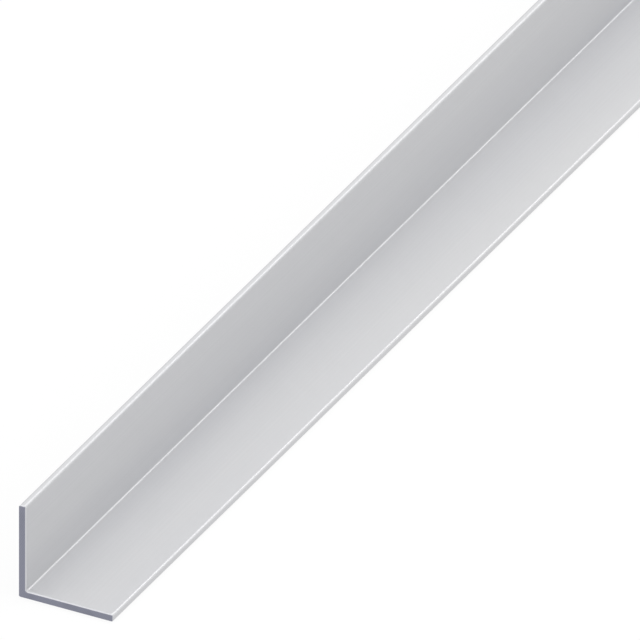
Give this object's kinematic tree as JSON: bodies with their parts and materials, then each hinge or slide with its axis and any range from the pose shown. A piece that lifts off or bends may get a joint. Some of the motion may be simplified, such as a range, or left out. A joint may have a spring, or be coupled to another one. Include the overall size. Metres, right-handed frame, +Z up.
{
  "type": "metal angle section",
  "caption": "Equal-leg aluminium angle, 20 x 20 x 1.5 mm, one metre long, silver anodised with a satin finish and plain sawn ends.",
  "frame": {"origin": "on the floor, under the middle of the bar's outer box", "axes": "+X along the bar, +Y out of the back (the upright leg), +Z up; the foot rests on the floor and the open side faces -Y"},
  "size_m": [1, 0.02, 0.02],
  "materials": {
    "silver_anodised": "satin"
  },
  "bodies": {
    "root": {"angle_section": "silver_anodised"}
  },
  "joints": []
}
